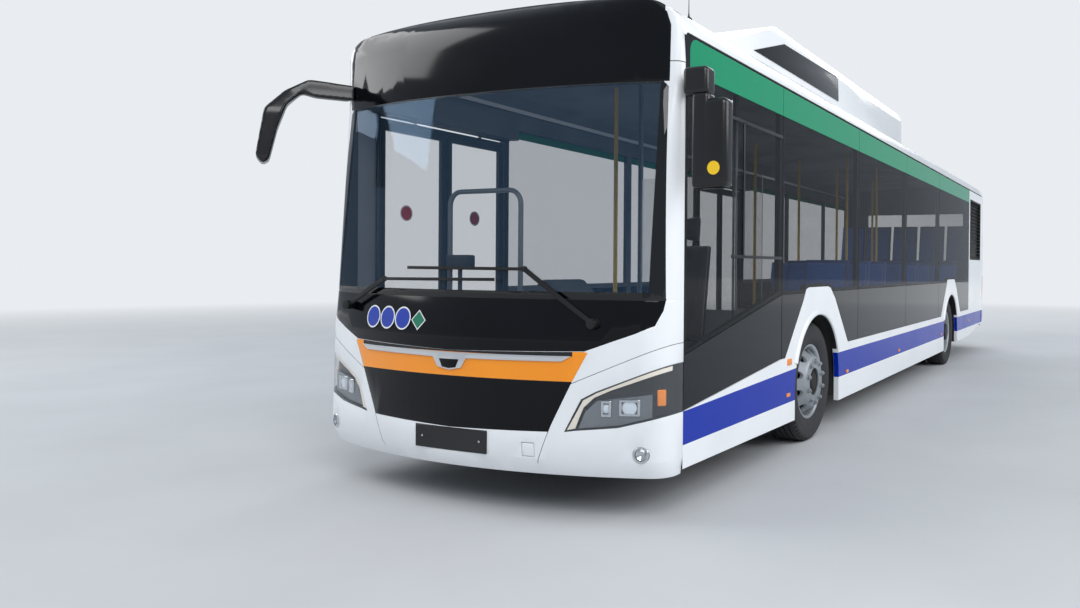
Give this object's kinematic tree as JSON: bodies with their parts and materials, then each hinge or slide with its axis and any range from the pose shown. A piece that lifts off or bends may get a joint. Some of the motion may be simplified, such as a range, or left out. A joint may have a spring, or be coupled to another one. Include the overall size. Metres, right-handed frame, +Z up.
{
  "type": "city bus",
  "caption": "Low-floor two-axle city bus with a roof gas pod, inward-gliding double doors on the right, dark wraparound glazing, steered front wheels and twin rear wheels.",
  "frame": {"origin": "on the ground, below the middle of the whole vehicle", "axes": "+X to the left side of the bus, +Y to its rear, +Z up; the front faces -Y"},
  "size_m": [3.1992, 12.3294, 3.325],
  "materials": {
    "white_paint": "gloss",
    "chassis_paint": "satin",
    "glazing": "gloss",
    "black_panel": "gloss",
    "orange_panel": "gloss",
    "strip_metal": "brushed",
    "lamp_glass": "gloss",
    "tail_lamp": "gloss",
    "axle_iron": "matte",
    "tyre_rubber": "matte",
    "wheel_paint": "satin",
    "dash_plastic": "matte",
    "seat_fabric": "matte",
    "rail_paint": "gloss",
    "door_frame": "satin",
    "mirror_plastic": "matte",
    "engine_iron": "matte"
  },
  "bodies": {
    "bus_body": {"axles": "axle_iron", "cab_partition": "door_frame", "dashboard": "dash_plastic", "display_cap": "black_panel", "driver_seat": "seat_fabric", "engine": "engine_iron", "front_black_panel": "black_panel", "front_lower_panel": "orange_panel", "front_mask": "white_paint", "front_pillars": "white_paint", "front_strip": "strip_metal", "gas_pod": "white_paint", "handrails": "rail_paint", "headlamps": "lamp_glass", "left_mirror": "mirror_plastic", "left_wall": "white_paint", "louvre": "door_frame", "passenger_seats": "seat_fabric", "rear_wall": "white_paint", "rear_window": "glazing", "right_mirror": "mirror_plastic", "right_wall": "white_paint", "roof": "white_paint", "side_windows": "glazing", "steering_wheel": "dash_plastic", "tail_lamps": "tail_lamp", "underframe": "chassis_paint", "windscreen": "glazing", "wipers": "mirror_plastic"},
    "engine_flap": {"engine_flap": "white_paint"},
    "knuckle_left": {"knuckle_left": "axle_iron"},
    "front_wheel_left": {"front_tyre_left": "tyre_rubber", "front_rim_left": "wheel_paint"},
    "rear_wheels_left": {"rear_tyres_left": "tyre_rubber", "rear_rims_left": "wheel_paint"},
    "knuckle_right": {"knuckle_right": "axle_iron"},
    "front_wheel_right": {"front_tyre_right": "tyre_rubber", "front_rim_right": "wheel_paint"},
    "rear_wheels_right": {"rear_tyres_right": "tyre_rubber", "rear_rims_right": "wheel_paint"},
    "front_door_arm_a": {"front_door_arm_a": "chassis_paint"},
    "front_door_leaf_a": {"front_door_leaf_a": "door_frame", "front_door_glass_a": "glazing"},
    "front_door_arm_b": {"front_door_arm_b": "chassis_paint"},
    "front_door_leaf_b": {"front_door_leaf_b": "door_frame", "front_door_glass_b": "glazing"},
    "middle_door_arm_a": {"middle_door_arm_a": "chassis_paint"},
    "middle_door_leaf_a": {"middle_door_leaf_a": "door_frame", "middle_door_glass_a": "glazing"},
    "middle_door_arm_b": {"middle_door_arm_b": "chassis_paint"},
    "middle_door_leaf_b": {"middle_door_leaf_b": "door_frame", "middle_door_glass_b": "glazing"}
  },
  "joints": [
    {"name": "steer_left", "type": "hinge", "parent": "bus_body", "child": "knuckle_left", "pos_m": [0.98, -3.3175, 0.4785], "axis": [0, 0, 1], "range_deg": [-45, 45]},
    {"name": "steer_right", "type": "hinge", "parent": "bus_body", "child": "knuckle_right", "pos_m": [-0.98, -3.3175, 0.4785], "axis": [0, 0, 1], "range_deg": [-45, 45]},
    {"name": "spin_front_left", "type": "hinge", "parent": "knuckle_left", "child": "front_wheel_left", "pos_m": [1.085, -3.3175, 0.4785], "axis": [1, 0, 0], "continuous": true},
    {"name": "spin_rear_left", "type": "hinge", "parent": "bus_body", "child": "rear_wheels_left", "pos_m": [0.929, 2.6875, 0.4785], "axis": [1, 0, 0], "continuous": true},
    {"name": "spin_front_right", "type": "hinge", "parent": "knuckle_right", "child": "front_wheel_right", "pos_m": [-1.085, -3.3175, 0.4785], "axis": [1, 0, 0], "continuous": true},
    {"name": "spin_rear_right", "type": "hinge", "parent": "bus_body", "child": "rear_wheels_right", "pos_m": [-0.929, 2.6875, 0.4785], "axis": [1, 0, 0], "continuous": true},
    {"name": "front_door_swing_a", "type": "hinge", "parent": "bus_body", "child": "front_door_arm_a", "pos_m": [-1.209, -5.502, 1.4], "axis": [0, 0, -1], "range_deg": [0, 82]},
    {"name": "front_door_turn_a", "type": "hinge", "parent": "front_door_arm_a", "child": "front_door_leaf_a", "pos_m": [-1.209, -5.169, 1.4], "axis": [0, 0, -1], "range_deg": [-164, 0]},
    {"name": "front_door_swing_b", "type": "hinge", "parent": "bus_body", "child": "front_door_arm_b", "pos_m": [-1.209, -4.158, 1.4], "axis": [0, 0, 1], "range_deg": [0, 82]},
    {"name": "front_door_turn_b", "type": "hinge", "parent": "front_door_arm_b", "child": "front_door_leaf_b", "pos_m": [-1.209, -4.491, 1.4], "axis": [0, 0, 1], "range_deg": [-164, 0]},
    {"name": "middle_door_swing_a", "type": "hinge", "parent": "bus_body", "child": "middle_door_arm_a", "pos_m": [-1.209, -0.622, 1.4], "axis": [0, 0, -1], "range_deg": [0, 82]},
    {"name": "middle_door_turn_a", "type": "hinge", "parent": "middle_door_arm_a", "child": "middle_door_leaf_a", "pos_m": [-1.209, -0.289, 1.4], "axis": [0, 0, -1], "range_deg": [-164, 0]},
    {"name": "middle_door_swing_b", "type": "hinge", "parent": "bus_body", "child": "middle_door_arm_b", "pos_m": [-1.209, 0.722, 1.4], "axis": [0, 0, 1], "range_deg": [0, 82]},
    {"name": "middle_door_turn_b", "type": "hinge", "parent": "middle_door_arm_b", "child": "middle_door_leaf_b", "pos_m": [-1.209, 0.389, 1.4], "axis": [0, 0, 1], "range_deg": [-164, 0]},
    {"name": "engine_flap_hinge", "type": "hinge", "parent": "bus_body", "child": "engine_flap", "pos_m": [0, 6.0905, 1.303], "axis": [1, 0, 0], "range_deg": [0, 80]}
  ],
  "couplings": [
    {"joint": "steer_right", "follows": "steer_left", "ratio": 1},
    {"joint": "front_door_turn_a", "follows": "front_door_swing_a", "ratio": -2},
    {"joint": "front_door_swing_b", "follows": "front_door_swing_a", "ratio": 1},
    {"joint": "front_door_turn_b", "follows": "front_door_swing_a", "ratio": -2},
    {"joint": "middle_door_turn_a", "follows": "middle_door_swing_a", "ratio": -2},
    {"joint": "middle_door_swing_b", "follows": "middle_door_swing_a", "ratio": 1},
    {"joint": "middle_door_turn_b", "follows": "middle_door_swing_a", "ratio": -2}
  ]
}
